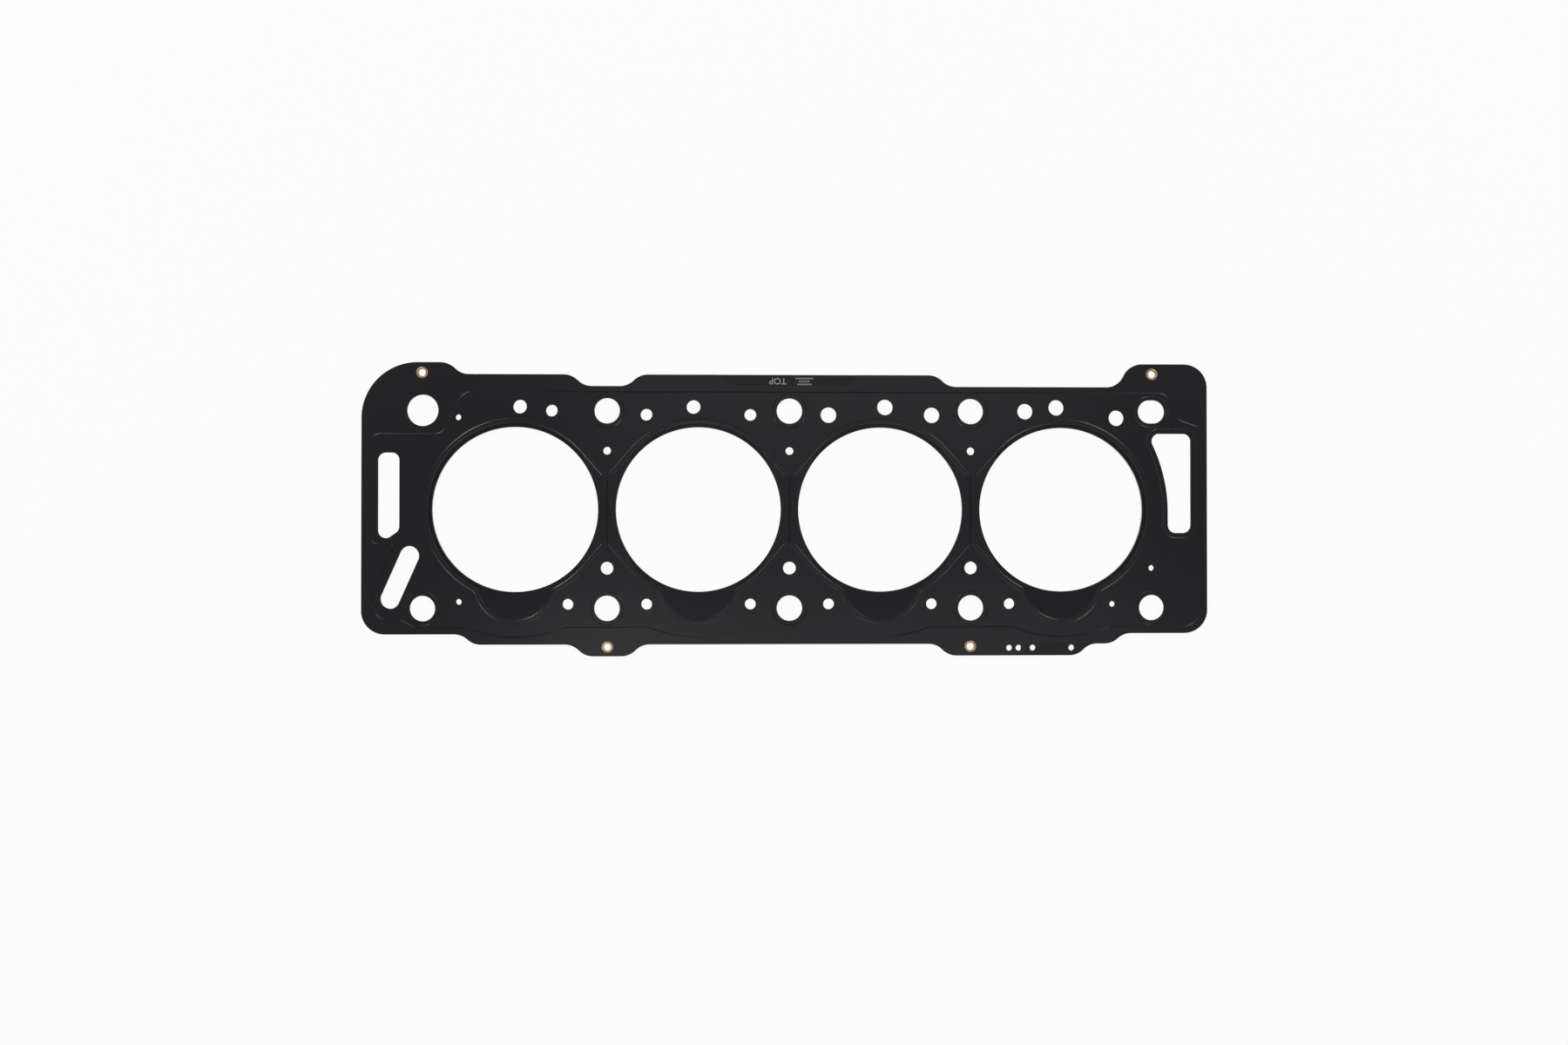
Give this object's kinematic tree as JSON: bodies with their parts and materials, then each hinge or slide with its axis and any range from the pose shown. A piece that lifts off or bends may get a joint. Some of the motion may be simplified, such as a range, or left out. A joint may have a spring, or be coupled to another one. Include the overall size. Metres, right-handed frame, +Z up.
{
  "type": "cylinder head gasket",
  "caption": "Long flat multi-layer steel gasket with a row of large round openings, embossed beads, bolt holes, coolant holes, slots and hollow rivets.",
  "frame": {"origin": "centre of the head bolt pattern, on the plane that the gasket lies on", "axes": "+X along the row of cylinder openings, towards the large rectangular opening; +Y towards the edge with the marking notch; +Z up, out of the side marked as the top"},
  "size_m": [0.4324, 0.1497, 0.0019],
  "materials": {
    "coated_steel": "satin black elastomer coating",
    "spacer_steel": "satin dark coating, bare at the cut edges",
    "stopper_steel": "rolled",
    "eyelet_brass": "bright"
  },
  "bodies": {
    "root": {"bottom_bead_layer": "coated_steel", "spacer_layer": "spacer_steel", "top_bead_layer": "coated_steel", "stopper_ring_1": "stopper_steel", "stopper_ring_2": "stopper_steel", "stopper_ring_3": "stopper_steel", "stopper_ring_4": "stopper_steel", "rivet_eyelet_1": "eyelet_brass", "rivet_eyelet_2": "eyelet_brass", "rivet_eyelet_3": "eyelet_brass", "rivet_eyelet_4": "eyelet_brass"}
  },
  "joints": []
}
